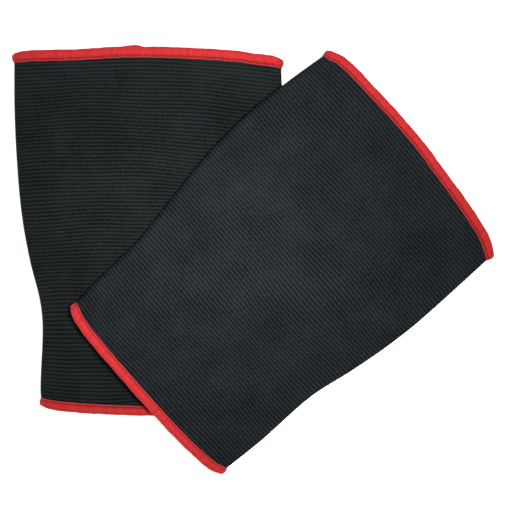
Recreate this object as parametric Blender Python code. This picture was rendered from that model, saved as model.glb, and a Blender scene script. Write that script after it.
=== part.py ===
"""A pair of martial arts elbow pads: two ribbed elastic sleeves, one lying across the other.

Each sleeve is a tube of ribbed elastic, folded on one side and seamed on its contoured side. It has a foam
pad in a patch pocket inside the elbow and a thick overlocked edging round each mouth. The under sleeve lies
along Y on a flat surface. The over sleeve lies across it and droops from its back to the surface. Lengths
are in millimetres and are built in metres.
"""

import math

import bmesh
import bpy
from mathutils import Vector

METRES = 0.001

# Cloth, thread and the gaps between layers
FABRIC = 1.4
LINING = 0.6
GAP = 0.35
LAYER_GAP = 0.5
EDGING = 0.8
EDGING_WIDTH = 5.5
NEEDLE_THREAD_RADIUS = 0.4
STITCH_RADIUS = 0.35

# Cross-section of a sleeve, which springs slightly open where it lies
SIDE_HEIGHT = 4.0
MOUTH_CROWN = 3.0
ELBOW_CROWN = 10.2
CROWN_POWER = 3.0
CROWN_RAMP = 0.28
MOUTH_LIFT = EDGING + GAP
LIFTED_FOR = 7.5
LIFT_ENDS_AT = 20.0

# Foam pad and its pocket, whose outlines are superellipses about the middle of the elbow side
PAD_HALF_LENGTH = 52.0
PAD_HALF_WIDTH = 42.0
PAD_SQUARENESS = 4.5
PAD_THICKNESS = 5.8
PAD_RIM = 1.4
PAD_BEVEL = 0.3
POCKET_SHARE = 1.24
POCKET_FADE = 0.14
STITCH_SHARE = 1.17

# Seam along the contoured side
SEAM_WIDTH = 4.4
SEAM_HALF_THICKNESS = 0.8
SEAM_CLEAR = 9.0
SEAM_THREAD_RADIUS = 0.4

# How high the over sleeve is carried, and where it droops past the under sleeve's side and narrow mouth
CARRIED_HEIGHT = 19.0
DROOP_X = (-34.0, 92.0)
DROOP_Y = (-62.0, -150.0)

AROUND = 40
SHELL_ROWS = 13
PAD_STEPS = 28
PAD_RINGS = (0.35, 0.6, 0.72, 0.82, 0.91, 1.0)
POCKET_RINGS = PAD_RINGS + (1.07, 1.14, POCKET_SHARE)
SEAM_ROWS = 14


def smooth(value):
    """0 at 0 and 1 at 1, with level ends."""
    value = min(1.0, max(0.0, value))
    return value * value * (3 - 2 * value)


def through(points, at):
    """Height at one place of the smooth curve through (place, height) points."""
    last = len(points) - 2
    i = max(k for k in range(last + 1) if k == 0 or points[k][0] <= at)
    (x0, y0), (x1, y1) = points[i], points[i + 1]
    before = points[max(i - 1, 0)]
    after = points[min(i + 2, last + 1)]
    width = x1 - x0
    rise_0 = width * (y1 - before[1]) / (x1 - before[0])
    rise_1 = width * (after[1] - y0) / (after[0] - x0)
    u = (at - x0) / width
    ahead = smooth(u)
    return (1 - ahead) * y0 + ahead * y1 + u * (1 - u) * ((1 - u) * rise_0 - u * rise_1)


class Sleeve:
    """One sleeve. s runs from its narrow mouth to its wide one, and v runs across it, to the right.

    The left and right sides are (share of the length, half width) points. The narrow and wide rims are
    (share of the half width, s) points.
    """

    def __init__(self, name, origin, heading, left, right, narrow, wide, seam_side, carried):
        self.name = name
        self.origin = Vector(origin)
        angle = math.radians(heading)
        self.along = Vector((math.cos(angle), math.sin(angle)))
        self.across = Vector((math.sin(angle), -math.cos(angle)))
        self.left = left
        self.right = right
        self.narrow = narrow
        self.wide = wide
        self.seam_side = seam_side
        self.carried = carried

    def length_at(self, q):
        """From rim to rim at the share q of the half width."""
        return through(self.wide, q) - through(self.narrow, q)

    def half_width(self, t, q):
        return through(self.right if q > 0 else self.left, t)

    def carry(self, x, y):
        """How high the sleeve is held at one place by what lies under it."""
        if not self.carried:
            return 0.0
        past_x = (x - DROOP_X[0]) / (DROOP_X[1] - DROOP_X[0])
        past_y = (y - DROOP_Y[0]) / (DROOP_Y[1] - DROOP_Y[0])
        return CARRIED_HEIGHT * (1 - smooth(past_x)) * (1 - smooth(past_y))

    def middle(self, phi, t):
        """A point on the fabric's middle. phi is 0 at the right side and a quarter turn at the crown."""
        q = math.cos(phi)
        length = self.length_at(q)
        t = min(1.0, max(0.0, t))
        half_width = self.half_width(t, q) - FABRIC / 2
        s = through(self.narrow, q) + t * length
        to_mouth = min(t, 1 - t) * length
        lift = MOUTH_LIFT * (1 - smooth((to_mouth - LIFTED_FOR) / (LIFT_ENDS_AT - LIFTED_FOR)))
        fold = SIDE_HEIGHT - FABRIC / 2
        into_fold = max(0.0, 1 - half_width * (1 - abs(q)) / fold)
        z = SIDE_HEIGHT + lift + math.copysign(fold * math.sqrt(1 - into_fold**2), math.sin(phi))
        if math.sin(phi) > 0:
            rise = smooth(t / CROWN_RAMP) * smooth((1 - t) / CROWN_RAMP)
            crown = MOUTH_CROWN + (ELBOW_CROWN - MOUTH_CROWN) * rise
            z += crown * (1 - abs(q) ** CROWN_POWER)
        flat = self.origin + self.along * s + self.across * half_width * q
        return Vector((flat.x, flat.y, z + self.carry(flat.x, flat.y)))

    def at(self, phi, t, out):
        """A point that stands the distance out off the middle of the fabric."""
        step = 1e-3
        t_in = min(1 - step, max(step, t))
        round_it = self.middle(phi + step, t) - self.middle(phi - step, t)
        down_it = self.middle(phi, t_in + step) - self.middle(phi, t_in - step)
        return self.middle(phi, t) + down_it.cross(round_it).normalized() * out

    def share(self, phi, distance):
        """t at a distance square to the narrow mouth's rim, or at a negative one to the wide mouth's."""
        q = math.cos(phi)
        step = 1e-3
        rim = self.narrow if distance >= 0 else self.wide
        slope = (through(rim, q + step) - through(rim, q - step)) / (2 * step * self.half_width(0.5, q))
        share = distance * math.hypot(1, slope) / self.length_at(q)
        return share if distance >= 0 else 1 + share


UNDER = Sleeve(
    name="under_sleeve",
    origin=(-58.6, -84.2),
    heading=90,
    left=[
        (0, 61.8), (0.05, 63.2), (0.22, 62), (0.3, 63.5), (0.42, 69.6),
        (0.55, 74.2), (0.7, 76.9), (0.85, 78.2), (1, 78.2),
    ],
    right=[(0, 61.5), (0.25, 66.0), (0.4, 71.5), (0.55, 75.5), (0.75, 76.2), (1, 75.2)],
    narrow=[(-1, -0.9), (-0.9, -2.4), (-0.65, -3.9), (-0.25, -5.2), (0.1, -5.3), (0.65, -3.8), (1, -0.9)],
    wide=[
        (-1, 202.7), (-0.9, 204.1), (-0.55, 204.6), (-0.2, 206.4), (0.25, 205.9),
        (0.7, 203.8), (0.8, 202.3), (0.93, 201), (1, 199),
    ],
    seam_side=math.pi,
    carried=False,
)
OVER = Sleeve(
    name="over_sleeve",
    origin=(-58.9, -72.7),
    heading=41.7,
    left=[
        (0, 63), (0.15, 65.9), (0.25, 66.6), (0.4, 71.8),
        (0.55, 77), (0.7, 79.2), (0.85, 77.9), (1, 74.8),
    ],
    right=[(0, 64.1), (0.15, 65.8), (0.34, 66), (0.48, 70.7), (0.6, 73.8), (0.72, 75.2), (1, 73.8)],
    narrow=[(-1, -5), (-0.9, -7.1), (-0.7, -8.5), (0, -9.2), (0.6, -8.4), (0.9, -6.4), (1, -4.1)],
    wide=[
        (-1, 205.6), (-0.9, 208.5), (-0.75, 210.1), (-0.1, 210.7),
        (0.3, 208.5), (0.65, 206), (0.87, 203.4), (1, 199.3),
    ],
    seam_side=0.0,
    carried=True,
)


def material(name, colour, roughness):
    made = bpy.data.materials.get(name) or bpy.data.materials.new(name)
    made.use_nodes = True
    shader = made.node_tree.nodes["Principled BSDF"]
    shader.inputs["Base Color"].default_value = (*colour, 1.0)
    shader.inputs["Roughness"].default_value = roughness
    shader.inputs["Metallic"].default_value = 0.0
    return made


def black_elastic():
    return material("black_elastic", (0.022, 0.026, 0.027), 0.85)


def black_lining():
    return material("black_lining", (0.018, 0.019, 0.021), 0.9)


def black_thread():
    return material("black_thread", (0.012, 0.013, 0.014), 0.7)


def grey_foam():
    return material("grey_foam", (0.16, 0.16, 0.17), 0.95)


def red_thread():
    return material("red_thread", (0.72, 0.035, 0.03), 0.6)


def add_solid(sleeve, part, rings, made_of, closed_ring=True, capped=False):
    """Joins rings of points in order into one solid. A closed_ring's last ring meets its first again."""
    built = bmesh.new()
    sections = [[built.verts.new(point * METRES) for point in ring] for ring in rings]
    pairs = list(zip(sections, sections[1:]))
    if closed_ring:
        pairs.append((sections[-1], sections[0]))
    for one, other in pairs:
        for k in range(len(one)):
            m = (k + 1) % len(one)
            built.faces.new((one[k], one[m], other[m], other[k]))
    if capped:
        built.faces.new(sections[0])
        built.faces.new(sections[-1])
    bmesh.ops.recalc_face_normals(built, faces=built.faces)
    mesh = bpy.data.meshes.new(f"{sleeve.name}_{part}")
    built.to_mesh(mesh)
    built.free()
    mesh.materials.append(made_of)
    mesh.shade_smooth()
    mesh.set_sharp_from_angle(angle=math.radians(40))
    made = bpy.data.objects.new(mesh.name, mesh)
    bpy.context.scene.collection.objects.link(made)


def add_thread(sleeve, part, points, radius, closed, made_of):
    """A round thread through the points."""
    curve = bpy.data.curves.new(f"{sleeve.name}_{part}", "CURVE")
    curve.dimensions = "3D"
    curve.bevel_depth = radius * METRES
    curve.bevel_resolution = 1
    curve.use_fill_caps = True
    line = curve.splines.new("POLY")
    line.points.add(len(points) - 1)
    for knot, point in zip(line.points, points):
        knot.co = (*(point * METRES), 1.0)
    line.use_cyclic_u = closed
    curve.materials.append(made_of)
    made = bpy.data.objects.new(curve.name, curve)
    bpy.context.scene.collection.objects.link(made)


def around_sleeve():
    """Places round a section, closest together at the two folded sides."""
    turns = [2 * math.pi * step / AROUND for step in range(AROUND)]
    return [turn - 0.25 * math.sin(2 * turn) for turn in turns]


def ribbed_shell(sleeve):
    """The tube of elastic, from just inside one edging to just inside the other."""
    first = EDGING + 2 * GAP
    near_mouth = (first, EDGING_WIDTH + 1, LIFTED_FOR + 4, LIFT_ENDS_AT)

    def wall_rows(phi):
        rows = [sleeve.share(phi, distance) for distance in near_mouth]
        last = sleeve.share(phi, -LIFT_ENDS_AT)
        rows += [rows[-1] + (last - rows[-1]) * row / SHELL_ROWS for row in range(1, SHELL_ROWS)]
        return rows + [sleeve.share(phi, -distance) for distance in reversed(near_mouth)]

    rings = []
    for phi in around_sleeve():
        rows = wall_rows(phi)
        outside = [sleeve.at(phi, t, FABRIC / 2) for t in rows]
        inside = [sleeve.at(phi, t, -FABRIC / 2) for t in reversed(rows)]
        rings.append(outside + inside)
    add_solid(sleeve, "ribbed_shell", rings, black_elastic())


def pad_ring(share):
    """(s, v) from the pad's centre, round a ring of its outline scaled by the share."""
    ring = []
    for step in range(PAD_STEPS):
        theta = 2 * math.pi * (step + 0.5) / PAD_STEPS
        s = math.cos(theta)
        v = math.sin(theta)
        power = PAD_SQUARENESS
        reach = (abs(s / PAD_HALF_LENGTH) ** power + abs(v / PAD_HALF_WIDTH) ** power) ** (-1 / power)
        ring.append((share * reach * s, share * reach * v))
    return ring


def under_elbow(sleeve, share, depth):
    """A ring of points that hang the depth below the middle of the elbow side's fabric."""
    points = []
    for s, v in pad_ring(share):
        t = 0.5 + s / sleeve.length_at(0)
        q = v / sleeve.half_width(t, v)
        points.append(sleeve.at(math.acos(q), t, -depth))
    return points


def pad_thickness(share):
    return PAD_RIM + (PAD_THICKNESS - PAD_RIM) * smooth((1 - share) / PAD_BEVEL)


def lining_depth(share):
    """How far the lining's upper face hangs below the middle of the fabric."""
    fade = 1 - smooth((share - 1) / POCKET_FADE)
    return FABRIC / 2 + LAYER_GAP + (pad_thickness(min(share, 1.0)) + GAP) * fade


def elbow_foam_pad(sleeve):
    """The foam against the inside of the elbow side, its rim skived thin."""
    top = FABRIC / 2 + LAYER_GAP
    rings = [under_elbow(sleeve, share, top) for share in PAD_RINGS]
    rings += [under_elbow(sleeve, share, top + pad_thickness(share)) for share in reversed(PAD_RINGS)]
    add_solid(sleeve, "elbow_foam_pad", rings, grey_foam(), closed_ring=False, capped=True)


def pad_pocket_lining(sleeve):
    """The patch that holds the pad against the elbow side."""
    rings = [under_elbow(sleeve, share, lining_depth(share)) for share in POCKET_RINGS]
    rings += [under_elbow(sleeve, share, lining_depth(share) + LINING) for share in reversed(POCKET_RINGS)]
    add_solid(sleeve, "pad_pocket_lining", rings, black_lining(), closed_ring=False, capped=True)


def pocket_stitch_line(sleeve):
    """The stitches that hold the patch, caught in the inner face of the elastic."""
    depth = lining_depth(STITCH_SHARE) + LINING + GAP + STITCH_RADIUS
    points = under_elbow(sleeve, STITCH_SHARE, depth)
    add_thread(sleeve, "pocket_stitch_line", points, STITCH_RADIUS, True, black_thread())


def seam_frame(sleeve, row):
    """A point on the inner face of the seamed side, and the unit vector that points in from it."""
    phi = sleeve.seam_side
    first = sleeve.share(phi, SEAM_CLEAR)
    last = sleeve.share(phi, -SEAM_CLEAR)
    t = first + (last - first) * row / SEAM_ROWS
    edge = sleeve.at(phi, t, -(FABRIC / 2 + GAP))
    return edge, (sleeve.at(phi, t, -(FABRIC / 2 + GAP + 1)) - edge)


def side_seam_allowance(sleeve):
    """The two edges of the elastic that are joined and turned in along the contoured side."""
    section = ((0.08, -0.4), (0.08, 0.4), (0.35, 1.0), (1.0, 1.0), (1.0, -1.0), (0.35, -1.0))
    rings = []
    for row in range(SEAM_ROWS + 1):
        edge, inwards = seam_frame(sleeve, row)
        upwards = Vector((0, 0, SEAM_HALF_THICKNESS))
        rings.append([edge + inwards * SEAM_WIDTH * reach + upwards * rise for reach, rise in section])
    add_solid(sleeve, "side_seam_allowance", rings, black_elastic(), closed_ring=False, capped=True)


def side_seam_thread(sleeve):
    """The overlock thread along the free edge of the seam allowance."""
    points = []
    for row in range(SEAM_ROWS + 1):
        edge, inwards = seam_frame(sleeve, row)
        points.append(edge + inwards * (SEAM_WIDTH + GAP + SEAM_THREAD_RADIUS))
    add_thread(sleeve, "side_seam_thread", points, SEAM_THREAD_RADIUS, False, black_thread())


def mouth_edging(sleeve, end, inwards):
    """The overlocked thread that wraps a mouth. inwards is 1 at the narrow mouth, -1 at the wide one."""
    near = FABRIC / 2 + GAP
    far = near + EDGING
    over_nose = EDGING + GAP
    side = ((far, EDGING_WIDTH), (far, over_nose), (far * 0.62, 0.25 * EDGING))
    outside = [*side, (0.0, 0.0), *((-out, distance) for out, distance in reversed(side))]
    profile = outside + [(-near, EDGING_WIDTH), (-near, EDGING), (near, EDGING), (near, EDGING_WIDTH)]
    rings = []
    for phi in around_sleeve():
        rings.append([sleeve.at(phi, sleeve.share(phi, inwards * max(d, 1e-6)), out) for out, d in profile])
    add_solid(sleeve, f"{end}_mouth_edging", rings, red_thread())


def mouth_needle_thread(sleeve, end, inwards):
    """The needle thread that runs round a mouth beside its edging."""
    distance = inwards * (EDGING_WIDTH + GAP + NEEDLE_THREAD_RADIUS)
    out = FABRIC / 2 + GAP + NEEDLE_THREAD_RADIUS
    points = [sleeve.at(phi, sleeve.share(phi, distance), out) for phi in around_sleeve()]
    add_thread(sleeve, f"{end}_mouth_needle_thread", points, NEEDLE_THREAD_RADIUS, True, red_thread())


def build(sleeve):
    ribbed_shell(sleeve)
    elbow_foam_pad(sleeve)
    pad_pocket_lining(sleeve)
    pocket_stitch_line(sleeve)
    side_seam_allowance(sleeve)
    side_seam_thread(sleeve)
    for end, inwards in (("narrow", 1), ("wide", -1)):
        mouth_edging(sleeve, end, inwards)
        mouth_needle_thread(sleeve, end, inwards)


def centre_on_footprint():
    """Moves everything so that the origin is at the middle of the footprint, on the surface below."""
    bpy.context.view_layer.update()
    graph = bpy.context.evaluated_depsgraph_get()
    corners = []
    for made in bpy.data.objects:
        shape = made.evaluated_get(graph).to_mesh()
        corners += [made.matrix_world @ vertex.co for vertex in shape.vertices]
    low = Vector(min(corner[k] for corner in corners) for k in range(3))
    high = Vector(max(corner[k] for corner in corners) for k in range(3))
    shift = Vector((-(low.x + high.x) / 2, -(low.y + high.y) / 2, -low.z))
    for made in bpy.data.objects:
        made.location = shift


def main():
    for old in list(bpy.data.objects):
        bpy.data.objects.remove(old)
    build(UNDER)
    build(OVER)
    centre_on_footprint()


main()
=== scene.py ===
"""The looks of a pair of ribbed elastic elbow pads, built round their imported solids.

Every soft piece is a fine mesh on the sleeve surface that its solid is made on, with fuller
corners at the mouths. The sleeve surface is worked out in millimetres in the sleeves' own frame,
and the meshes are in metres in the row's frame.
"""

import math
from collections import namedtuple

import bmesh
import bpy
import numpy as np
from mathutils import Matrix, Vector


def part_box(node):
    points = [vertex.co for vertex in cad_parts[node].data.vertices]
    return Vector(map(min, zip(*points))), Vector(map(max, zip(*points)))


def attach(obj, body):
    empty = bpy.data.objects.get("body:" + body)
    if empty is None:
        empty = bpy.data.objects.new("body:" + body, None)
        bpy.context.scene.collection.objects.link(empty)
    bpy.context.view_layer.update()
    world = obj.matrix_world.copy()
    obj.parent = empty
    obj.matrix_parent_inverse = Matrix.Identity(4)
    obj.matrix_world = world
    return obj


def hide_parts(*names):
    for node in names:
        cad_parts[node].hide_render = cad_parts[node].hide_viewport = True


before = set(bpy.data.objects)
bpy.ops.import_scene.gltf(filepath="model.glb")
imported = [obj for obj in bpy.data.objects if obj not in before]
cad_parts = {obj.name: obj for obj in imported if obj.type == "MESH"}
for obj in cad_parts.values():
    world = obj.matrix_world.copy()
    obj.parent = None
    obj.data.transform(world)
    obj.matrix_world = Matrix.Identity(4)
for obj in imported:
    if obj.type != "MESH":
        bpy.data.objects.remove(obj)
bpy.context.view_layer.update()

METRES = 0.001
UP = np.array((0, 0, 1.0))

# Cloth, pads, seams and gaps in millimetres, as in the solids where those have them
FABRIC = 1.4
LINING = 0.6
GAP = 0.35
LAYER_GAP = 0.5
EDGING = 0.8
EDGING_WIDTH = 5.5
SIDE_HEIGHT = 4.0
MOUTH_CROWN = 3.0
ELBOW_CROWN = 10.2
CROWN_POWER = 3.0
CROWN_RAMP = 0.28
CROWDING = 0.25
MOUTH_LIFT = EDGING + GAP
LIFTED_FOR = 7.5
LIFT_ENDS_AT = 20.0
PAD_HALF_LENGTH = 52.0
PAD_HALF_WIDTH = 42.0
PAD_SQUARENESS = 4.5
PAD_THICKNESS = 5.8
PAD_RIM = 1.4
PAD_BEVEL = 0.3
PAD_ROUNDING = 0.35
PAD_STEPS = 96
POCKET_SHARE = 1.24
POCKET_FADE = 0.14
STITCH_SHARE = 1.17
STITCH_LIFT = 0.25
STITCH_STEPS = 1440
POCKET_STITCH = 2.8
POCKET_STITCH_SHARE = 0.78
POCKET_STITCH_RADIUS = 0.3
PUCKER = 0.16
HEM = 0.2
SEAM_WIDTH = 4.4
SEAM_HALF_THICKNESS = 0.8
SEAM_CLEAR = 9.0
SEAM_ROWS = 220
SEAM_TURNS = 105
SEAM_TURN_STEPS = 12
SEAM_THREAD_RADIUS = 0.22
CARRIED_HEIGHT = 19.0
DROOP_X = (-34.0, 92.0)
DROOP_Y = (-62.0, -150.0)

# Ribs of the elastic, which bow a little and flatten at the folds, and the painted light that lightens
# them towards the wide mouth
RIB_PITCH = 2.1
RIB_DEPTH = 0.42
RIB_PROFILE = (0.0, 0.72, 1.0, 1.0, 0.72)
INNER_RIB_DEPTH = 0.15
RIB_FLATTENING = 0.8
BOW_ROOM = 6.0
BOW_TURN = 20
BOW_SPAN = 300
SHELL_COLUMNS = 120
SOLID_COLUMNS = 40
PAINTED_LIGHT_FROM = 170.0

# The edging's section, by places in from the rim, which are close together at its needle holes
EDGING_LAST = EDGING_WIDTH - 0.3
EDGING_CREST = 2.4
EDGING_SWELL = 1.06
EDGING_END_RISE = 0.45
NOSE_POWER = 2.4
SLOPE_POWER = 2.6
OUTSIDE_PLACES = (EDGING_LAST, 5.05, 4.9, 4.75, 4.6, 4.4, 3.9, 3.2, 2.5, 1.8, 1.15, 0.6, 0.22, 0.05)
INSIDE_PLACES = (0.05, 0.3, 0.8, 1.6, 2.6, 4.0, EDGING_LAST)
CLOSE = 0.12
CORNER_STARTS = 0.94
CORNER_ROUNDING = 1.9
LUMP_RISE = 0.9
LUMP_SWELL = 0.3

# Threads of the edging
THREAD_PITCH = 0.62
THREAD_DEPTH = 0.13
THREAD_SAMPLES = 4
THREAD_SLANT = 0.12
THREAD_MEAN = 0.6
PLUMPNESS = (0.5, 1.5)
UNEVEN = ((0.07, 2.3, 1.0), (0.06, 5.1, 0.0), (0.05, 1.1, 0.0))
RIM_STEPS = 2880
STITCH_PITCH = 1.5
HOLE_AT = 4.75
HOLE_DEPTH = 0.75
HOLE_REACH = 0.28
CHAIN_AT = 5.65
CHAIN_RADIUS = 0.42
CHAIN_SIDES = 10
CHAIN_STEPS = 8

# Settling of the upper sides over their pads, simulated at ten times their size
CLOTH_SCALE = 10
CLOTH_ROWS = 56
CLOTH_COLUMNS = 40
CLOTH_FRAMES = 30
CLOTH_REACH = 0.97
HELD_ROWS = 3
RISE_LIMIT = 0.2
SINK_LIMIT = 1.5
WAVES_ALONG = 9
WAVES_ACROSS = 7

# What the camera takes in, from the under sleeve's origin
VIEW_WIDTH = 293.25
VIEW_FROM_ORIGIN = (60.04, 86.79)
LENS = 600
SENSOR = 36

# The floor and the light, in metres, degrees and watts
FLOOR_SIZE = 6.0
FLOOR_GAP = 0.0004
SPOT_PLACE = (0.12, 0.03, 1.26)
SPOT_AIM = (-0.024, 0.018, 0.0)
SPOT_CONE = 16.5
SPOT_WATTS = 208
SPOT_COLOUR = (0.88, 0.96, 1.0)
SPOT_SIZE = 0.13

# How one mouth's edging differs from the plain one: its breadth as a share, how deep its needle
# holes are pulled, and where across the sleeve a lump in it starts, stands highest and ends
Edging = namedtuple("Edging", "breadth pull lump", defaults=(1.0, None))


def smooth(value):
    """0 at 0 and 1 at 1, with level ends."""
    value = np.clip(value, 0.0, 1.0)
    return value * value * (3 - 2 * value)


def through(points, at):
    """Heights at some places of the smooth curve through (place, height) points."""
    xs, ys = np.array(points, float).T
    knots = np.arange(len(xs))
    before = np.maximum(knots - 1, 0)
    after = np.minimum(knots + 1, len(xs) - 1)
    slopes = (ys[after] - ys[before]) / (xs[after] - xs[before])
    k = np.clip(np.searchsorted(xs, at, side="right") - 1, 0, len(xs) - 2)
    width = xs[k + 1] - xs[k]
    u = (at - xs[k]) / width
    ahead = smooth(u)
    swing = u * (1 - u) * width * ((1 - u) * slopes[k] - u * slopes[k + 1])
    return (1 - ahead) * ys[k] + ahead * ys[k + 1] + swing


def around(columns):
    """Places round a section, closest together at the two folded sides."""
    turns = 2 * math.pi * np.arange(columns) / columns
    return turns - CROWDING * np.sin(2 * turns)


class Sleeve:
    """One sleeve. s runs from its narrow mouth to its wide one, and v runs across it, to the right.

    left and right are half widths at shares of the length, and narrow and wide are the s of the
    rims at shares of the half width. A dent is the s and v of its middle, its reach along and
    across, and its rise. A wave in the ribs is its reach, its length and start across, and its
    length and start along. The bow of the ribs is its reach, the v of its crest, and the s where
    it turns over. sunk is how far the upper side has settled, as the sizes of its waves.
    """

    def __init__(
        self, name, origin, heading, left, right, narrow, wide, seam_side, carried,
        dents, waves, bow, edgings,
    ):
        self.name = name
        self.origin = np.array(origin)
        angle = math.radians(heading)
        self.along = np.array((math.cos(angle), math.sin(angle)))
        self.across = np.array((math.sin(angle), -math.cos(angle)))
        self.left = left
        self.right = right
        self.narrow = narrow
        self.wide = wide
        self.seam_side = seam_side
        self.carried = carried
        self.dents = dents
        self.waves = waves
        self.bow = bow
        self.edgings = edgings
        self.sunk = np.zeros((WAVES_ALONG, WAVES_ACROSS))

    def length_at(self, q):
        """From rim to rim at the share q of the half width."""
        return through(self.wide, q) - through(self.narrow, q)

    def half_width(self, t, q):
        """From the middle line to the side that q is on, at the share t of the length."""
        t, q = np.broadcast_arrays(t, q)
        return np.where(q > 0, through(self.right, t), through(self.left, t))

    def carry(self, x, y):
        """How high the sleeve is held at each place by what lies under it."""
        if not self.carried:
            return np.zeros_like(x)
        past_x = (x - DROOP_X[0]) / (DROOP_X[1] - DROOP_X[0])
        past_y = (y - DROOP_Y[0]) / (DROOP_Y[1] - DROOP_Y[0])
        return CARRIED_HEIGHT * (1 - smooth(past_x)) * (1 - smooth(past_y))

    def dent(self, s, v):
        """How far the upper side stands above its plain crown, in soft hollows and swells."""
        height = np.zeros_like(s)
        for middle_s, middle_v, reach_s, reach_v, rise in self.dents:
            away = ((s - middle_s) / reach_s) ** 2 + ((v - middle_v) / reach_v) ** 2
            height = height + rise * np.exp(-away)
        return height

    def sinking(self, t, q):
        """How far the upper side has settled, as a sum of waves along and across it."""
        height = np.zeros(np.broadcast_shapes(t.shape, q.shape))
        for m, along in enumerate(self.sunk, 1):
            across = sum(size * np.sin(n * math.pi * (q + 1) / 2) for n, size in enumerate(along, 1))
            height = height + np.sin(m * math.pi * t) * across
        return height

    def middle(self, phi, t):
        """Points on the fabric's middle. phi is 0 at the right side, a quarter turn at the crown."""
        phi, t = np.broadcast_arrays(phi, t)
        q = np.cos(phi)
        length = self.length_at(q)
        t = np.clip(t, 0.0, 1.0)
        half_width = self.half_width(t, q) - FABRIC / 2
        s = through(self.narrow, q) + t * length
        to_mouth = np.minimum(t, 1 - t) * length
        lift = MOUTH_LIFT * (1 - smooth((to_mouth - LIFTED_FOR) / (LIFT_ENDS_AT - LIFTED_FOR)))
        fold = SIDE_HEIGHT - FABRIC / 2
        into_fold = np.maximum(0.0, 1 - half_width * (1 - np.abs(q)) / fold)
        z = SIDE_HEIGHT + lift + np.copysign(fold * np.sqrt(1 - into_fold**2), np.sin(phi))
        rise = smooth(t / CROWN_RAMP) * smooth((1 - t) / CROWN_RAMP)
        dome = (MOUTH_CROWN + (ELBOW_CROWN - MOUTH_CROWN) * rise) * (1 - np.abs(q) ** CROWN_POWER)
        dome = dome + self.dent(s, half_width * q) * (1 - np.abs(q) ** 8) + self.sinking(t, q)
        z = z + np.where(np.sin(phi) > 0, dome, 0.0)
        flat = self.origin + s[..., None] * self.along + (half_width * q)[..., None] * self.across
        z = z + self.carry(flat[..., 0], flat[..., 1])
        return np.concatenate((flat, z[..., None]), axis=-1)

    def at(self, phi, t, out):
        """Points that stand the distance out off the middle of the fabric."""
        step = 1e-3
        t_in = np.clip(t, step, 1 - step)
        round_it = self.middle(phi + step, t) - self.middle(phi - step, t)
        down_it = self.middle(phi, t_in + step) - self.middle(phi, t_in - step)
        normal = np.cross(down_it, round_it)
        normal /= np.linalg.norm(normal, axis=-1, keepdims=True)
        return self.middle(phi, t) + normal * np.asarray(out, float)[..., None]

    def share(self, phi, distance, inwards):
        """t at a distance in, square to the rim. inwards is 1 at the narrow mouth, -1 at the wide."""
        q = np.cos(phi)
        step = 1e-3
        rim = self.narrow if inwards > 0 else self.wide
        slope = (through(rim, q + step) - through(rim, q - step)) / (2 * step * self.half_width(0.5, q))
        share = distance * np.hypot(1, slope) / self.length_at(q)
        return share if inwards > 0 else 1 - share


UNDER = Sleeve(
    name="under_sleeve",
    origin=(-58.6, -84.2),
    heading=90,
    left=[
        (0, 61.8), (0.05, 63.2), (0.22, 62), (0.3, 63.5), (0.42, 69.6),
        (0.55, 74.2), (0.7, 76.9), (0.85, 78.2), (1, 78.2),
    ],
    right=[(0, 61.5), (0.25, 66.0), (0.4, 71.5), (0.55, 75.5), (0.75, 76.2), (1, 75.2)],
    narrow=[
        (-1, -0.9), (-0.9, -2.4), (-0.65, -3.9), (-0.25, -5.2), (0.1, -5.3), (0.65, -3.8), (1, -0.9),
    ],
    wide=[
        (-1, 203.6), (-0.9, 204.3), (-0.55, 205), (-0.2, 206.4), (0.25, 206),
        (0.7, 203.9), (0.8, 202.6), (0.93, 201.5), (1, 200.4),
    ],
    seam_side=math.pi,
    carried=False,
    dents=[(150, -45, 30, 22, -1.0), (185, -20, 25, 30, 0.6), (95, -40, 25, 20, 0.5)],
    waves=[(0.7, 150, 0.4, 90, 0.8), (0.5, 60, 1.9, 70, 2.0)],
    bow=(4.0, -23, 47),
    edgings={"narrow": Edging(0.94), "wide": Edging(1.08, lump=(-18.7, -7.2, -3.2))},
)
OVER = Sleeve(
    name="over_sleeve",
    origin=(-58.9, -72.7),
    heading=41.7,
    left=[
        (0, 63), (0.15, 65.9), (0.25, 66.6), (0.4, 71.8),
        (0.55, 77), (0.7, 79.2), (0.85, 77.9), (1, 74.8),
    ],
    right=[(0, 64.1), (0.15, 65.8), (0.34, 66), (0.48, 70.7), (0.6, 73.8), (0.72, 75.2), (1, 74.7)],
    narrow=[(-1, -5), (-0.9, -7.1), (-0.7, -8.5), (0, -9.2), (0.6, -8.4), (0.9, -6.4), (1, -4.1)],
    wide=[
        (-1, 206.3), (-0.9, 208.9), (-0.75, 210.2), (-0.1, 210.9),
        (0.3, 208.6), (0.65, 205.9), (0.87, 203), (1, 199.1),
    ],
    seam_side=0.0,
    carried=True,
    dents=[
        (95, 47, 20, 13, -1.8), (60, -5, 16, 34, 0.9), (105, 20, 20, 30, 0.5),
        (180, 45, 24, 22, -0.9), (120, -45, 26, 18, -0.5),
    ],
    waves=[(1.0, 140, 0.6, 120, 0.3), (0.5, 70, 2.4, 80, 1.1)],
    bow=(0.8, 0, 100),
    edgings={"narrow": Edging(0.96, pull=0.5), "wide": Edging(1.0)},
)


def place_as_packed():
    """Moves the sleeves from their own frame to where the under sleeve's solid shell is."""
    turn = around(SOLID_COLUMNS)
    inset = EDGING + 2 * GAP
    rims = [UNDER.at(turn, UNDER.share(turn, inset, inwards), FABRIC / 2) for inwards in (1, -1)]
    down = np.linspace(0.01, 0.99, 50)
    sides = [UNDER.at(np.full_like(down, side), down, FABRIC / 2) for side in (0.0, math.pi)]
    low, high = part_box("under_sleeve_ribbed_shell")
    shift_x = (low.x + high.x) / 2 / METRES - (sides[0][:, 0].max() + sides[1][:, 0].min()) / 2
    shift_y = (low.y + high.y) / 2 / METRES - (rims[0][:, 1].min() + rims[1][:, 1].max()) / 2
    for sleeve in (UNDER, OVER):
        sleeve.origin = sleeve.origin + (shift_x, shift_y)


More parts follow.
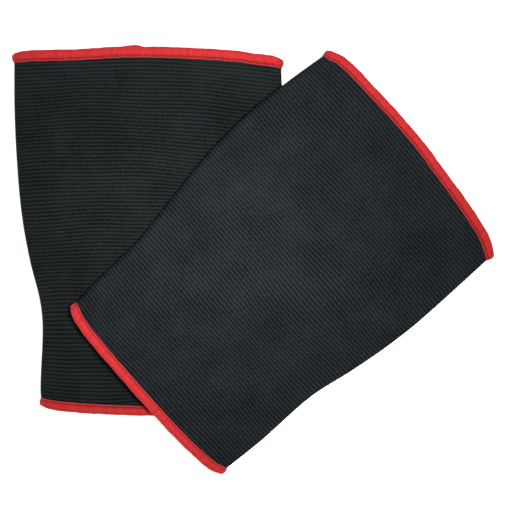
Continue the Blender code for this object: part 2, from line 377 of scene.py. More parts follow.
# ---------------------------------------------------------------- meshes


def link(name, mesh, sleeve, made_of):
    """Puts a mesh in the scene as a smooth piece that rides on its sleeve."""
    mesh.materials.append(made_of)
    mesh.shade_smooth()
    made = bpy.data.objects.new(name, mesh)
    bpy.context.scene.collection.objects.link(made)
    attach(made, sleeve.name)
    return made


def quads_between(index, wrap_rows):
    """The four corners of each face of rows of vertices that close on themselves across."""
    up = np.roll(index, -1, axis=0)
    faces = np.stack((index, np.roll(index, -1, 1), np.roll(up, -1, 1), up), axis=-1)
    return faces if wrap_rows else faces[:-1]


def with_faces_out(mesh, merge=False):
    """Turns a mesh's faces outwards, and joins its points that meet if merge is set."""
    shape = bmesh.new()
    shape.from_mesh(mesh)
    if merge:
        bmesh.ops.remove_doubles(shape, verts=shape.verts, dist=1e-7)
    bmesh.ops.recalc_face_normals(shape, faces=shape.faces)
    shape.to_mesh(mesh)
    shape.free()
    return mesh


def solid(name, points, sleeve, made_of, wrap_rows=True, capped=False, uv=None, merge=False):
    """One closed mesh through rows of points. uv is (places across, places along). All in mm."""
    rows, columns = points.shape[:2]
    faces = quads_between(np.arange(rows * columns).reshape(rows, columns), wrap_rows)
    polygons = faces.reshape(-1, 4).tolist()
    if capped:
        polygons += [list(range(columns))[::-1], list(range((rows - 1) * columns, rows * columns))]
    mesh = bpy.data.meshes.new(name)
    mesh.from_pydata((points.reshape(-1, 3) * METRES).tolist(), [], polygons)
    if uv is not None:
        across, along = uv
        across = np.append(across, 2 * across[-1] - across[-2])
        along = np.append(along, along[0] if wrap_rows else 0)
        i, j = np.meshgrid(np.arange(faces.shape[0]), np.arange(columns), indexing="ij")
        corners = np.stack(
            (
                np.stack((across[j], across[j + 1], across[j + 1], across[j]), -1),
                np.stack((along[i], along[i], along[i + 1], along[i + 1]), -1),
            ),
            -1,
        )
        layer = mesh.uv_layers.new(name="cloth_mm")
        flat = np.zeros((len(mesh.loops), 2), np.float32)
        flat[: corners.size // 2] = corners.reshape(-1, 2)
        layer.data.foreach_set("uv", flat.ravel())
    return link(name, with_faces_out(mesh, merge), sleeve, made_of)


def rings_of(sides, sideways, upwards):
    """Rings of unit radius, each in the plane of its two unit vectors."""
    turn = 2 * math.pi * np.arange(sides) / sides
    cosines = np.cos(turn)[None, :, None]
    sines = np.sin(turn)[None, :, None]
    return cosines * sideways[:, None] + sines * upwards[:, None]


def tube(name, centres, normals, radii, sides, closed, sleeve, made_of, uv=None):
    """A round thread along centres, with a radius at each."""
    if closed:
        tangents = np.roll(centres, -1, 0) - np.roll(centres, 1, 0)
    else:
        tangents = np.gradient(centres, axis=0)
    tangents /= np.linalg.norm(tangents, axis=1, keepdims=True)
    sideways = np.cross(tangents, normals)
    sideways /= np.linalg.norm(sideways, axis=1, keepdims=True)
    upwards = np.cross(sideways, tangents)
    points = centres[:, None] + rings_of(sides, sideways, upwards) * np.reshape(radii, (-1, 1, 1))
    return solid(name, points, sleeve, made_of, wrap_rows=closed, capped=not closed, uv=uv)


def stitches(name, starts, ends, normals, radius, sleeve, made_of, slot):
    """One mesh of separate plump stitches, each a spindle from a start to an end."""
    sides = 6
    shares = np.array((0.0, 0.12, 0.35, 0.65, 0.88, 1.0))
    swell = np.array((0.25, 0.8, 1.0, 1.0, 0.8, 0.25)) * radius
    lift = np.array((-0.5, 0.1, 0.35, 0.35, 0.1, -0.5)) * radius
    along = ends - starts
    direction = along / np.linalg.norm(along, axis=1, keepdims=True)
    sideways = np.cross(direction, normals)
    sideways /= np.linalg.norm(sideways, axis=1, keepdims=True)
    centre = starts[:, None] + along[:, None] * shares[None, :, None]
    centre = centre + normals[:, None] * lift[None, :, None]
    rings = rings_of(sides, sideways, normals)
    points = centre[:, :, None] + rings[:, None] * swell[None, :, None, None]
    index = np.arange(points[..., 0].size).reshape(points.shape[:3])
    walls = [quads_between(one, False).reshape(-1, 4) for one in index]
    polygons = np.concatenate(walls).tolist()
    for one in index:
        polygons += [one[0][::-1].tolist(), one[-1].tolist()]
    mesh = bpy.data.meshes.new(name)
    mesh.from_pydata((points.reshape(-1, 3) * METRES).tolist(), [], polygons)
    return link(name, with_faces_out(mesh), sleeve, made_of)


# ---------------------------------------------------------------- materials


class Nodes:
    """A short way to write a material's nodes."""

    def __init__(self, name):
        self.material = bpy.data.materials.new(name)
        self.material.use_nodes = True
        self.tree = self.material.node_tree
        self.shader = self.tree.nodes["Principled BSDF"]

    def set(self, node, key, value):
        if isinstance(value, bpy.types.NodeSocket):
            self.tree.links.new(value, node.inputs[key])
        elif value is not None:
            node.inputs[key].default_value = value

    def add(self, kind, inputs, output=0, **settings):
        node = self.tree.nodes.new(kind)
        for key, value in settings.items():
            setattr(node, key, value)
        for key, value in inputs.items():
            self.set(node, key, value)
        return node.outputs[output]

    def math(self, operation, a, b=None, c=None):
        return self.add("ShaderNodeMath", {0: a, 1: b, 2: c}, operation=operation)

    def mix(self, share, low, high):
        """Colours between low and high."""
        inputs = {"Factor": share, 6: low, 7: high}
        return self.add("ShaderNodeMix", inputs, output=2, data_type="RGBA")

    def noise(self, vector, scale, detail=3.0, roughness=0.6):
        inputs = {"Vector": vector, "Scale": scale, "Detail": detail, "Roughness": roughness}
        return self.add("ShaderNodeTexNoise", inputs)

    def stretched(self, vector, scale):
        return self.add("ShaderNodeMapping", {"Vector": vector, "Scale": scale})

    def cloth(self):
        """The place on the cloth in millimetres, and its two parts."""
        place = self.add("ShaderNodeUVMap", {}, uv_map="cloth_mm")
        split = self.tree.nodes.new("ShaderNodeSeparateXYZ")
        self.tree.links.new(place, split.inputs[0])
        return place, split.outputs[0], split.outputs[1]

    def wave(self, place, pitch):
        """0 where place is a whole number of pitches, and 1 halfway between."""
        turned = self.math("MULTIPLY", place, 2 * math.pi / pitch)
        return self.math("MULTIPLY_ADD", self.math("COSINE", turned), -0.5, 0.5)

    def bump(self, height, distance, strength=1.0, over=None):
        inputs = {"Height": height, "Distance": distance, "Strength": strength, "Normal": over}
        return self.add("ShaderNodeBump", inputs)

    def finish(self, colour, roughness, normal=None, sheen=0.0, specular=0.3):
        self.set(self.shader, "Base Color", colour)
        self.set(self.shader, "Roughness", roughness)
        self.set(self.shader, "Specular IOR Level", specular)
        self.set(self.shader, "Sheen Weight", sheen)
        self.set(self.shader, "Sheen Roughness", 0.45)
        self.set(self.shader, "Normal", normal)
        return self.material


def ribbed_elastic(name, groove_shade, rib, wide_mouth_light):
    """The ribbed cloth, from its grooves' colour, which is painted shade, to its ribs', and lighter
    towards the wide mouth as painted light.
    """
    n = Nodes(name)
    place, across, along = n.cloth()
    ridge = n.wave(along, RIB_PITCH)
    fuzz = n.noise(n.stretched(place, (0.55, 1.3, 1)), 1.0, 4.0, 0.65)
    patches = n.noise(place, 0.045, 2.0)
    loops = n.math("MULTIPLY", n.wave(n.math("MULTIPLY_ADD", ridge, 0.25, across), 0.72), ridge)
    # Painted shade: the grooves between the ribs take the darker colour
    light = n.math("MULTIPLY_ADD", ridge, 0.86, 0.06)
    light = n.math("MULTIPLY_ADD", n.math("SUBTRACT", fuzz, 0.5), 2.3, light)
    light = n.math("MULTIPLY_ADD", n.math("SUBTRACT", patches, 0.5), 0.9, light)
    # Painted light: the colour grows lighter towards the wide mouth
    past = n.math("MAXIMUM", n.math("SUBTRACT", along, PAINTED_LIGHT_FROM), 0.0)
    light = n.math("MULTIPLY_ADD", past, wide_mouth_light, light)
    colour = n.mix(n.math("MULTIPLY", light, 0.8), (*groove_shade, 1), (*rib, 1))
    normal = n.bump(fuzz, 0.00035, 0.7)
    normal = n.bump(loops, 0.00012, 0.8, normal)
    return n.finish(colour, 0.85, normal, specular=0.03)


def red_edging(name, shade, holes):
    """The edging's thread. shade scales its colours as painted light and shade, and holes is how
    strongly painted shade darkens its needle holes.
    """
    dark = shade * np.array((0.25, 0.0064, 0.0068))
    light = shade * np.array((0.485, 0.0172, 0.0178))
    worn = shade * np.array((0.30, 0.0080, 0.0088))
    n = Nodes(name)
    place, across, along = n.cloth()
    strands = n.noise(n.stretched(place, (1.1, 0.1, 1)), 1.0, 2.0, 0.6)
    strands = n.math("MULTIPLY_ADD", n.math("SUBTRACT", strands, 0.5), 1.8, 0.5)
    tint = n.noise(n.stretched(place, (0.16, 0.1, 1)), 1.0, 2.0)
    off_hole = n.math("ABSOLUTE", n.math("SUBTRACT", along, HOLE_AT))
    near_hole = n.math("SUBTRACT", 1.0, n.math("MULTIPLY", off_hole, 2.5))
    at_stitch = n.math("POWER", n.math("SUBTRACT", 1.0, n.wave(across, STITCH_PITCH)), 3.0)
    hole = n.math("MULTIPLY", n.math("MAXIMUM", near_hole, 0.0), at_stitch)
    colour = n.mix(strands, (*dark, 1), (*light, 1))
    colour = n.mix(n.math("MULTIPLY", tint, 0.35), colour, (*worn, 1))
    # Painted shade: near-black colour in the needle holes, as strong as holes sets
    colour = n.mix(n.math("MULTIPLY", hole, holes), colour, (0.035, 0.001, 0.002, 1))
    fibre = n.noise(n.stretched(place, (9.0, 1.2, 1)), 1.0, 2.0)
    return n.finish(colour, 0.6, n.bump(fibre, 0.0001, 0.8), sheen=0.04, specular=0.12)


def red_chain():
    """The needle thread, with painted shade that darkens its two flanks along its length."""
    n = Nodes("red_chain")
    place, across, _ = n.cloth()
    flank_shade = n.wave(across, STITCH_PITCH)
    # Painted shade: the thread's two flanks are coloured darker than its top and underside
    colour = n.mix(flank_shade, (0.02, 0.001, 0.0012, 1), (0.46, 0.026, 0.030, 1))
    fibre = n.noise(n.stretched(place, (5.0, 5.0, 1)), 1.0, 2.0)
    return n.finish(colour, 0.65, n.bump(fibre, 0.0001, 0.6), sheen=0.04, specular=0.12)


def plain_cloth(name, dark, light, scale, roughness, depth):
    """Matt cloth, foam or thread with scale grains to the metre, each of a depth in metres."""
    n = Nodes(name)
    place = n.add("ShaderNodeTexCoord", {}, output=3)
    grain = n.noise(place, scale, 4.0, 0.65)
    colour = n.mix(grain, (*dark, 1), (*light, 1))
    return n.finish(colour, roughness, n.bump(grain, depth, 0.8), sheen=0.1)


# ---------------------------------------------------------------- settling


def linked_for_settling(name, points, polygons):
    """A large copy of some points in millimetres, for the simulation."""
    mesh = bpy.data.meshes.new(name)
    mesh.from_pydata((points.reshape(-1, 3) * METRES * CLOTH_SCALE).tolist(), [], polygons)
    made = bpy.data.objects.new(name, mesh)
    bpy.context.scene.collection.objects.link(made)
    return made


def settling_cloth(start):
    """The upper side as a plain sheet, with its edges marked as held."""
    index = np.arange(start[..., 0].size).reshape(CLOTH_ROWS, CLOTH_COLUMNS)
    faces = np.stack((index[:-1, :-1], index[:-1, 1:], index[1:, 1:], index[1:, :-1]), -1)
    cloth = linked_for_settling("settling_cloth", start, faces.reshape(-1, 4).tolist())
    mouths = (index[:HELD_ROWS].ravel(), index[-HELD_ROWS:].ravel())
    held = np.concatenate((*mouths, index[:, 0], index[:, -1]))
    cloth.vertex_groups.new(name="held").add(held.tolist(), 1.0, "REPLACE")
    return cloth


def settling_pad(sleeve):
    """The foam pad, as what the sheet sinks onto."""
    rings = foam_rings(sleeve)
    index = np.arange(rings[..., 0].size).reshape(-1, PAD_STEPS)
    walls = quads_between(index, False).reshape(-1, 4).tolist()
    pad = linked_for_settling("settling_pad", rings, [*walls, index[0][::-1].tolist()])
    pad.modifiers.new("solid", "COLLISION")
    pad.collision.thickness_outer = 0.002
    pad.collision.cloth_friction = 20
    return pad


def soften(cloth):
    """Gives the sheet the stiffness of ribbed elastic."""
    made = cloth.modifiers.new("cloth", "CLOTH")
    made.settings.quality = 6
    made.settings.mass = 0.5
    made.settings.tension_stiffness = 30
    made.settings.compression_stiffness = 12
    made.settings.shear_stiffness = 10
    made.settings.bending_stiffness = 4
    made.settings.vertex_group_mass = "held"
    made.collision_settings.distance_min = FABRIC / 2 * METRES * CLOTH_SCALE
    made.collision_settings.collision_quality = 3
    made.point_cache.frame_start = 1
    made.point_cache.frame_end = CLOTH_FRAMES


def settle(sleeve):
    """Lets the upper side sink onto its foam pad by cloth simulation, held at its folds and mouths."""
    t = np.linspace(0, 1, CLOTH_ROWS)
    q = np.linspace(CLOTH_REACH, -CLOTH_REACH, CLOTH_COLUMNS)
    start = sleeve.middle(np.arccos(q)[None], t[:, None])
    cloth = settling_cloth(start)
    pad = settling_pad(sleeve)
    soften(cloth)
    for moment in range(1, CLOTH_FRAMES + 1):
        bpy.context.scene.frame_set(moment)
    settled = cloth.evaluated_get(bpy.context.evaluated_depsgraph_get()).data
    heights = np.array([vertex.co.z for vertex in settled.vertices]).reshape(CLOTH_ROWS, CLOTH_COLUMNS)
    sunk = np.minimum(heights / METRES / CLOTH_SCALE - start[..., 2], RISE_LIMIT)
    sunk = SINK_LIMIT * np.tanh(sunk / SINK_LIMIT)
    along = np.sin(math.pi * np.outer(t, np.arange(1, WAVES_ALONG + 1)))
    across = np.sin(math.pi / 2 * np.outer(q + 1, np.arange(1, WAVES_ACROSS + 1)))
    sleeve.sunk = np.round(np.linalg.pinv(along) @ sunk @ np.linalg.pinv(across).T, 3)
    bpy.context.scene.frame_set(1)
    for used in (cloth, pad):
        bpy.data.objects.remove(used)


# ---------------------------------------------------------------- pieces


def ribbed_shell(sleeve, made_of):
    """The tube of elastic. Its ribs bow a little, and the mouths are cut across them."""
    phi = around(SHELL_COLUMNS)
    q = np.cos(phi)
    inset = EDGING + 2 * GAP
    start = through(sleeve.narrow, q)
    length = sleeve.length_at(q)
    low = start + sleeve.share(phi, inset, 1) * length
    high = start + sleeve.share(phi, inset, -1) * length
    v = sleeve.half_width(0.5, q) * q

    def skin(pitch, heights, face):
        first = math.floor((low.min() - BOW_ROOM) / RIB_PITCH) * RIB_PITCH
        rows = np.arange(first, high.max() + BOW_ROOM, pitch)
        reach, crest, turns_at = sleeve.bow
        bowed = reach * np.tanh((rows[:, None] - turns_at) / BOW_TURN)
        wavy = rows[:, None] + bowed * np.cos(2 * math.pi * (v - crest) / BOW_SPAN)
        for reach, across_for, across_from, along_for, along_from in sleeve.waves:
            bend = np.sin(2 * math.pi * (v / across_for) + across_from)
            wavy = wavy + reach * bend * np.sin(2 * math.pi * rows / along_for + along_from)[:, None]
        s = np.clip(wavy, low, high)
        cut = (s <= low) | (s >= high)
        depths = heights.max() - heights[np.arange(len(rows)) % len(heights)]
        flatter = 1 - RIB_FLATTENING * np.abs(q) ** 10
        out = np.where(cut, heights.mean(), heights.max() - depths[:, None] * flatter)
        return sleeve.at(phi[None], (s - start) / length, face * out), rows

    outer_heights = FABRIC / 2 - RIB_DEPTH * (1 - np.array(RIB_PROFILE))
    outer, outer_rows = skin(RIB_PITCH / len(RIB_PROFILE), outer_heights, 1)
    inner_heights = FABRIC / 2 - np.array((INNER_RIB_DEPTH, 0.0))
    inner, inner_rows = skin(RIB_PITCH / 2, inner_heights, -1)
    points = np.concatenate((outer, inner[::-1]))
    loop = sleeve.at(phi, 0.5, 0.0)
    steps = np.linalg.norm(np.roll(loop, -1, 0) - loop, axis=1)
    across = np.concatenate(([0], np.cumsum(steps)[:-1]))
    uv = (across, np.concatenate((outer_rows, inner_rows[::-1])))
    name = f"{sleeve.name}_ribbed_elastic"
    made = solid(name, points, sleeve, made_of, uv=uv, merge=True)
    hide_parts(f"{sleeve.name}_ribbed_shell")
    return made


def rim_walk(sleeve, inwards, pitch):
    """phi at equal steps round a mouth, and how far round each is."""
    turn = np.linspace(0, 2 * math.pi, RIM_STEPS + 1)
    ring = sleeve.at(turn, sleeve.share(turn, EDGING_WIDTH / 2, inwards), FABRIC)
    walked = np.concatenate(([0], np.cumsum(np.linalg.norm(np.diff(ring, axis=0), axis=1))))
    count = round(walked[-1] / pitch)
    places = np.arange(count) * walked[-1] / count
    return np.interp(places, walked, turn), places


def edging_height(distance):
    """How far the edging's skin stands off the middle of the fabric at a distance in from the rim."""
    highest = EDGING_SWELL * (FABRIC / 2 + GAP + EDGING)
    lowest = FABRIC / 2 + CLOSE + EDGING_END_RISE
    before = np.clip((EDGING_CREST - distance) / EDGING_CREST, 0, 1)
    after = np.clip((distance - EDGING_CREST) / (EDGING_LAST - EDGING_CREST), 0, 1)
    nose = highest * (1 - before**NOSE_POWER) ** (1 / NOSE_POWER)
    slope = lowest + (highest - lowest) * (1 - after**SLOPE_POWER)
    return np.where(distance < EDGING_CREST, nose, slope)


def edging_section():
    """Distances in from the rim and out from the fabric, round the section, and 1 where it is skin."""
    outside = np.array(OUTSIDE_PLACES)
    inside = np.array(INSIDE_PLACES)
    base = FABRIC / 2 + CLOSE
    distance = np.concatenate((outside, (0.0,), inside, (EDGING_LAST, EDGING, EDGING, EDGING_LAST)))
    wrap = (edging_height(outside), (0.0,), -edging_height(inside))
    out = np.concatenate((*wrap, (-base, -base, base, base)))
    skin = np.concatenate((np.ones(len(outside) + 1 + len(inside)), np.zeros(4)))
    return distance, out, skin


def mouth_edging(sleeve, end, inwards, made_of):
    """The thread that wraps a mouth, thread beside thread, with a needle hole at each stitch."""
    plan = sleeve.edgings[end]
    phi, walked = rim_walk(sleeve, inwards, THREAD_PITCH / THREAD_SAMPLES)
    rng = np.random.default_rng(len(end) + 7 * inwards + len(sleeve.name))
    distance, out, skin = edging_section()
    side = np.where(out >= 0, 1.0, -1.0)
    outwards = (skin * side)[:, None]
    thread_count = len(phi) // THREAD_SAMPLES
    plump = rng.uniform(*PLUMPNESS, thread_count + 1)
    place = walked[None, :] / THREAD_PITCH + THREAD_SLANT * distance[:, None]
    strand = np.abs(np.sin(math.pi * place)) - THREAD_MEAN
    strand = strand * plump[np.floor(place).astype(int) % thread_count]
    uneven = sum(reach * np.sin(walked / over + start) for reach, over, start in UNEVEN)
    hole = np.exp(-(((distance - HOLE_AT) / HOLE_REACH) ** 2))[:, None]
    hole = hole * np.cos(math.pi * walked / STITCH_PITCH)[None, :] ** 6 * (out > 0)[:, None]
    away = out[:, None] + outwards * (THREAD_DEPTH * strand + uneven[None, :])
    away = away - skin[:, None] * plan.pull * HOLE_DEPTH * hole
    shallowest = np.minimum(out, FABRIC / 2 + CLOSE + 0.04)[:, None]
    away = np.where(outwards > 0, np.maximum(away, shallowest), away)
    lump = lump_in_edging(sleeve, phi, plan.lump)
    away = away + outwards * LUMP_SWELL * lump[None, :]
    corner = np.clip((np.abs(np.cos(phi)) - CORNER_STARTS) / (1 - CORNER_STARTS), 0, 1)
    rounded = CORNER_ROUNDING * (1 - np.sqrt(1 - corner**2))
    near_nose = np.clip(1 - distance / EDGING_CREST, 0, 1)[:, None] * skin[:, None]
    moved = plan.breadth * distance[:, None] - near_nose * (lump + uneven - rounded)[None, :]
    t = sleeve.share(phi[None, :], moved, inwards)
    points = sleeve.at(phi[None, :], t, away) + past_rim(sleeve, phi, moved, inwards)
    name = f"{sleeve.name}_{end}_edging_threads"
    made = solid(name, points, sleeve, made_of, uv=(walked, distance))
    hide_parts(f"{sleeve.name}_{end}_mouth_edging")
    return made


def lump_in_edging(sleeve, phi, lump):
    """How far the edging's lump stands out at each place round a mouth, on its upper side."""
    if lump is None:
        return np.zeros_like(phi)
    first, crest, last = lump
    across = sleeve.at(phi, 0.5, 0.0)[:, 0] - sleeve.origin[0]
    swell = smooth((across - first) / (crest - first)) * (1 - smooth((across - crest) / (last - crest)))
    return LUMP_RISE * swell * (np.sin(phi) > 0)


def past_rim(sleeve, phi, distance, inwards):
    """How far points with a distance below zero lie out past the rim."""
    t = np.full_like(phi, 0.0 if inwards > 0 else 1.0)
    step = 1e-3 * inwards
    outwards = sleeve.middle(phi, t) - sleeve.middle(phi, t + step)
    outwards /= np.linalg.norm(outwards, axis=-1, keepdims=True)
    return np.maximum(-distance, 0.0)[..., None] * outwards[None]


def needle_chain(sleeve, end, inwards, made_of):
    """The chain of needle stitches along the edging's inner side."""
    phi, walked = rim_walk(sleeve, inwards, STITCH_PITCH / CHAIN_STEPS)
    swell = np.abs(np.sin(math.pi * walked / STITCH_PITCH)) ** 0.7
    distance = sleeve.edgings[end].breadth * CHAIN_AT + 0.07 * np.sin(walked / 1.7)
    t = sleeve.share(phi, distance, inwards)
    centre = sleeve.at(phi, t, FABRIC / 2 + 0.15 * np.ones_like(t))
    normal = sleeve.at(phi, t, 1.0) - sleeve.at(phi, t, 0.0)
    radius = CHAIN_RADIUS * (0.62 + 0.42 * swell)
    name = f"{sleeve.name}_{end}_chain_stitches"
    uv = (np.arange(CHAIN_SIDES) * 0.3, walked)
    made = tube(name, centre, normal, radius, CHAIN_SIDES, True, sleeve, made_of, uv=uv)
    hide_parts(f"{sleeve.name}_{end}_mouth_needle_thread")
    return made


def pad_ring(share, steps):
    """s and v from the pad's centre, round a ring of its outline scaled by the share."""
    theta = 2 * math.pi * (np.arange(steps) + 0.5) / steps
    s = np.cos(theta)
    v = np.sin(theta)
    power = PAD_SQUARENESS
    reach = (np.abs(s / PAD_HALF_LENGTH) ** power + np.abs(v / PAD_HALF_WIDTH) ** power) ** (-1 / power)
    return share * reach * s, share * reach * v


def under_elbow(sleeve, share, depth, steps):
    """A ring of points that hang the depth below the middle of the elbow side's fabric."""
    s, v = pad_ring(share, steps)
    t = 0.5 + s / sleeve.length_at(0)
    q = v / sleeve.half_width(t, v)
    return sleeve.at(np.arccos(q), t, -np.broadcast_to(depth, s.shape))


def pad_thickness(share):
    """How thick the foam is at a share of the way out to its outline."""
    return PAD_RIM + (PAD_THICKNESS - PAD_RIM) * smooth((1 - share) / PAD_BEVEL)


def lining_depth(share):
    """How far the lining's upper face hangs below the middle of the fabric."""
    fade = 1 - smooth((share - 1) / POCKET_FADE)
    return FABRIC / 2 + LAYER_GAP + (pad_thickness(min(share, 1.0)) + GAP) * fade


def foam_rings(sleeve):
    """The foam's upper face from its middle out, then its lower face back in, with rounded edges."""
    shares = np.concatenate((np.linspace(0.06, 0.7, 9), np.linspace(0.74, 0.99, 9), (0.997, 1.0)))
    top = FABRIC / 2 + LAYER_GAP
    rounding = [PAD_ROUNDING * smooth((share - 0.97) / 0.03) for share in shares]
    upper = [top + round_in for round_in in rounding]
    lower = [top + pad_thickness(share) - round_in for share, round_in in zip(shares, rounding)]
    rings = [under_elbow(sleeve, share, depth, PAD_STEPS) for share, depth in zip(shares, upper)]
    rings += [under_elbow(sleeve, share, depth, PAD_STEPS) for share, depth in zip(shares, lower)][::-1]
    return np.stack(rings)


def elbow_foam_pad(sleeve, made_of):
    """The foam block under the elbow side."""
    name = f"{sleeve.name}_foam_block"
    made = solid(name, foam_rings(sleeve), sleeve, made_of, wrap_rows=False, capped=True)
    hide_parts(f"{sleeve.name}_elbow_foam_pad")


def pad_pocket_lining(sleeve, made_of):
    """The lining patch, puckered a little where its stitches pull."""
    steps = 160
    theta = 2 * math.pi * np.arange(steps) / steps
    shares = (np.linspace(0.06, 0.66, 8), np.linspace(0.7, 1.2, 26), (1.23, POCKET_SHARE))
    upper, lower = [], []
    for share in np.concatenate(shares):
        pull = math.exp(-(((share - 1.12) / 0.07) ** 2))
        pucker = PUCKER * pull * (np.sin(31 * theta) + 0.5 * np.sin(53 * theta + 1))
        hem = HEM * smooth((share - 1.2) / 0.04)
        depth = lining_depth(share)
        upper.append(under_elbow(sleeve, share, depth + np.maximum(pucker, -0.1) + hem, steps))
        lower.append(under_elbow(sleeve, share, depth + LINING + pucker - hem / 2, steps))
    name = f"{sleeve.name}_lining_patch"
    rings = np.stack(upper + lower[::-1])
    made = solid(name, rings, sleeve, made_of, wrap_rows=False, capped=True)
    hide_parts(f"{sleeve.name}_pad_pocket_lining")
    return made


def pocket_stitches(sleeve, made_of):
    """Separate lockstitches round the lining patch."""
    depth = lining_depth(STITCH_SHARE) + LINING + STITCH_LIFT
    loop = under_elbow(sleeve, STITCH_SHARE, depth, STITCH_STEPS)
    normal = loop - under_elbow(sleeve, STITCH_SHARE, depth - 1, STITCH_STEPS)
    steps = np.linalg.norm(np.roll(loop, -1, 0) - loop, axis=1)
    walked = np.concatenate(([0], np.cumsum(steps)[:-1]))
    count = round(steps.sum() / POCKET_STITCH)
    first = np.searchsorted(walked, np.arange(count) * steps.sum() / count)
    final = np.searchsorted(walked, (np.arange(count) + POCKET_STITCH_SHARE) * steps.sum() / count)
    first = np.clip(first, 0, len(loop) - 1)
    final = np.clip(final, 0, len(loop) - 1)
    name = f"{sleeve.name}_pocket_stitches"
    ends = (loop[first], loop[final])
    made = stitches(name, *ends, normal[first], POCKET_STITCH_RADIUS, sleeve, made_of, "black_thread")
    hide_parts(f"{sleeve.name}_pocket_stitch_line")
    return made


def seam_frame(sleeve, rows):
    """Points on the inner face of the seamed side, and unit vectors that point in from them."""
    phi = np.full(rows, sleeve.seam_side)
    first = sleeve.share(phi, SEAM_CLEAR, 1)
    last = sleeve.share(phi, SEAM_CLEAR, -1)
    t = first + (last - first) * np.linspace(0, 1, rows)
    depth = FABRIC / 2 + GAP
    edge = sleeve.at(phi, t, np.full(rows, -depth))
    return edge, sleeve.at(phi, t, np.full(rows, -depth - 1)) - edge


def seam_allowance(sleeve, made_of):
    """The joined edges, turned in along the contoured side."""
    edge, inwards = seam_frame(sleeve, SEAM_ROWS)
    section = (
        (0.08, -0.4), (0.08, 0.4), (0.35, 1.0), (0.7, 1.0), (1.0, 0.85),
        (1.0, 0.1), (1.0, -0.85), (0.7, -1.0), (0.35, -1.0),
    )
    wave = 0.12 * np.sin(np.arange(SEAM_ROWS) * 0.9)[:, None]
    points = []
    for reach, rise in section:
        height = SEAM_HALF_THICKNESS * rise + wave * reach
        points.append(edge + inwards * SEAM_WIDTH * reach + UP * height)
    points = np.stack(points, 1)
    uv = (np.linspace(0, 10, len(section)), np.linspace(0, 180, SEAM_ROWS))
    name = f"{sleeve.name}_seam_allowance"
    made = solid(name, points, sleeve, made_of, wrap_rows=False, capped=True, uv=uv)
    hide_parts(f"{sleeve.name}_side_seam_allowance")
    return made


def seam_overlock(sleeve, made_of):
    """The thread that winds round the allowance's free edge."""
    edge, inwards = seam_frame(sleeve, SEAM_TURNS * SEAM_TURN_STEPS)
    turn = 2 * math.pi * np.arange(len(edge)) / SEAM_TURN_STEPS
    sideways = np.cos(turn)[:, None] * inwards
    upwards = np.sin(turn)[:, None] * UP
    reach = sideways * 1.6 + upwards * (SEAM_HALF_THICKNESS + 0.35)
    centre = edge + inwards * (SEAM_WIDTH - 1.1) + reach
    radii = np.full(len(edge), SEAM_THREAD_RADIUS)
    name = f"{sleeve.name}_seam_overlock"
    made = tube(name, centre, sideways + upwards, radii, 5, False, sleeve, made_of)
    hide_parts(f"{sleeve.name}_side_seam_thread")
    return made


def sheet_size(sleeve):
    """The flat width and length, in metres, of the elastic before it was joined into a tube."""
    halves = [sleeve.half_width(t, q) for t in np.linspace(0, 1, 21) for q in (-1.0, 1.0)]
    return 4 * np.mean(halves) * METRES, sleeve.length_at(0.0) * METRES


def build(sleeve, materials):
    """All the pieces of one sleeve, and what its sheets are."""
    shell = ribbed_shell(sleeve, materials["elastic"])
    elbow_foam_pad(sleeve, materials["foam"])
    lining = pad_pocket_lining(sleeve, materials["lining"])
    stitched = pocket_stitches(sleeve, materials["thread"])
    strip = seam_allowance(sleeve, materials["elastic"])
    wound = seam_overlock(sleeve, materials["thread"])
    on_shell = []
    for end, inwards in (("narrow", 1), ("wide", -1)):
        on_shell.append(mouth_edging(sleeve, end, inwards, materials[f"{end}_red"]))
        on_shell.append(needle_chain(sleeve, end, inwards, materials["chain"]))
    on_shell += [strip, wound]
    sheet_size(sleeve)


# ---------------------------------------------------------------- stage


def stage():
    """A pale floor, just under the sleeves."""
    bpy.ops.mesh.primitive_plane_add(size=FLOOR_SIZE, location=(0, 0, -FLOOR_GAP))
    floor = bpy.context.object
    floor.name = "floor"
    n = Nodes("floor_paper")
    place = n.add("ShaderNodeTexCoord", {}, output=3)
    paper = n.mix(n.noise(place, 3.0), (0.93, 0.93, 0.93, 1), (0.95, 0.95, 0.95, 1))
    n.set(n.shader, "Emission Color", (1, 1, 1, 1))
    n.set(n.shader, "Emission Strength", 0.6)
    floor.data.materials.append(n.finish(paper, 0.9))


def soft_spot():
    """A soft spot whose light falls away evenly from the place it aims at."""
    light = bpy.data.lights.new("main_spot", "SPOT")
    light.energy = SPOT_WATTS
    light.color = SPOT_COLOUR
    light.spot_size = math.radians(SPOT_CONE)
    light.spot_blend = 1.0
    light.shadow_soft_size = SPOT_SIZE
    lamp = bpy.data.objects.new("main_spot", light)
    lamp.location = SPOT_PLACE
    lamp.rotation_euler = (Vector(SPOT_AIM) - Vector(SPOT_PLACE)).to_track_quat("-Z", "Y").to_euler()
    bpy.context.scene.collection.objects.link(lamp)


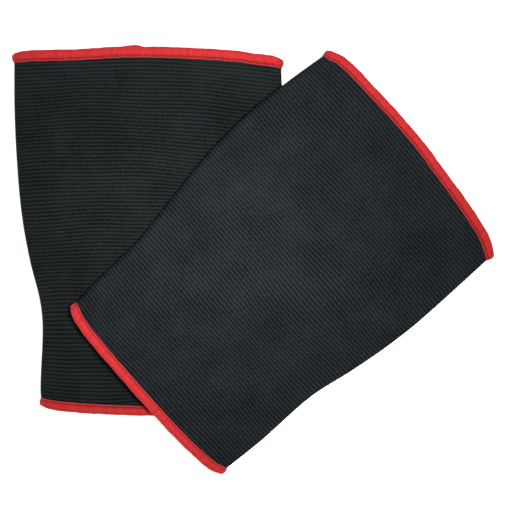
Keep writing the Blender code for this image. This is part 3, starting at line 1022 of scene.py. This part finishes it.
def studio():
    """Even white light from all round, and the soft spot."""
    world = bpy.data.worlds.new("studio")
    world.use_nodes = True
    sky = world.node_tree.nodes["Background"]
    sky.inputs["Color"].default_value = (1, 1, 0.97, 1)
    sky.inputs["Strength"].default_value = 0.7
    bpy.context.scene.world = world
    soft_spot()
    bpy.context.scene.view_settings.view_transform = "Standard"
    bpy.context.scene.view_settings.look = "None"


def camera():
    """Looks straight down from far enough to keep the sides out of sight."""
    lens = bpy.data.cameras.new("camera")
    lens.lens = LENS
    lens.sensor_width = SENSOR
    eye = bpy.data.objects.new("camera", lens)
    x, y = (UNDER.origin + VIEW_FROM_ORIGIN) * METRES
    eye.location = (x, y, VIEW_WIDTH * METRES * LENS / SENSOR)
    bpy.context.scene.collection.objects.link(eye)
    bpy.context.scene.camera = eye


def shared_materials():
    """The materials that both sleeves have."""
    thread = (0.006, 0.006, 0.007), (0.03, 0.03, 0.032)
    lining = (0.008, 0.008, 0.010), (0.03, 0.031, 0.034)
    foam = (0.08, 0.08, 0.085), (0.2, 0.2, 0.21)
    return {
        "wide_red": red_edging("red_edging", 1.02, 2.0),
        "chain": red_chain(),
        "thread": plain_cloth("black_sewing_thread", *thread, 4000, 0.6, 0.0001),
        "lining": plain_cloth("black_lining_knit", *lining, 2500, 0.8, 0.0002),
        "foam": plain_cloth("dark_grey_foam", *foam, 1500, 0.9, 0.0004),
    }


def over_materials():
    elastic = (0.0028, 0.0033, 0.0035), (0.0168, 0.0197, 0.0216)
    return {
        "elastic": ribbed_elastic("ribbed_elastic", *elastic, 0.0035),
        "narrow_red": red_edging("faintly_holed_red_edging", 1.0, 1.0),
    }


def under_materials():
    # Painted shade: the under sleeve's elastic and narrow edging are darker copies of the over sleeve's
    elastic = (0.0024, 0.0028, 0.0029), (0.0130, 0.0150, 0.0154)
    return {
        "elastic": ribbed_elastic("darker_ribbed_elastic", *elastic, 0.0125),
        "narrow_red": red_edging("darker_red_edging", 0.88, 1.6),
    }


def main():
    place_as_packed()
    settle(UNDER)
    settle(OVER)
    camera()
    studio()
    stage()
    shared = shared_materials()
    build(OVER, {**shared, **over_materials()})
    build(UNDER, {**shared, **under_materials()})


main()
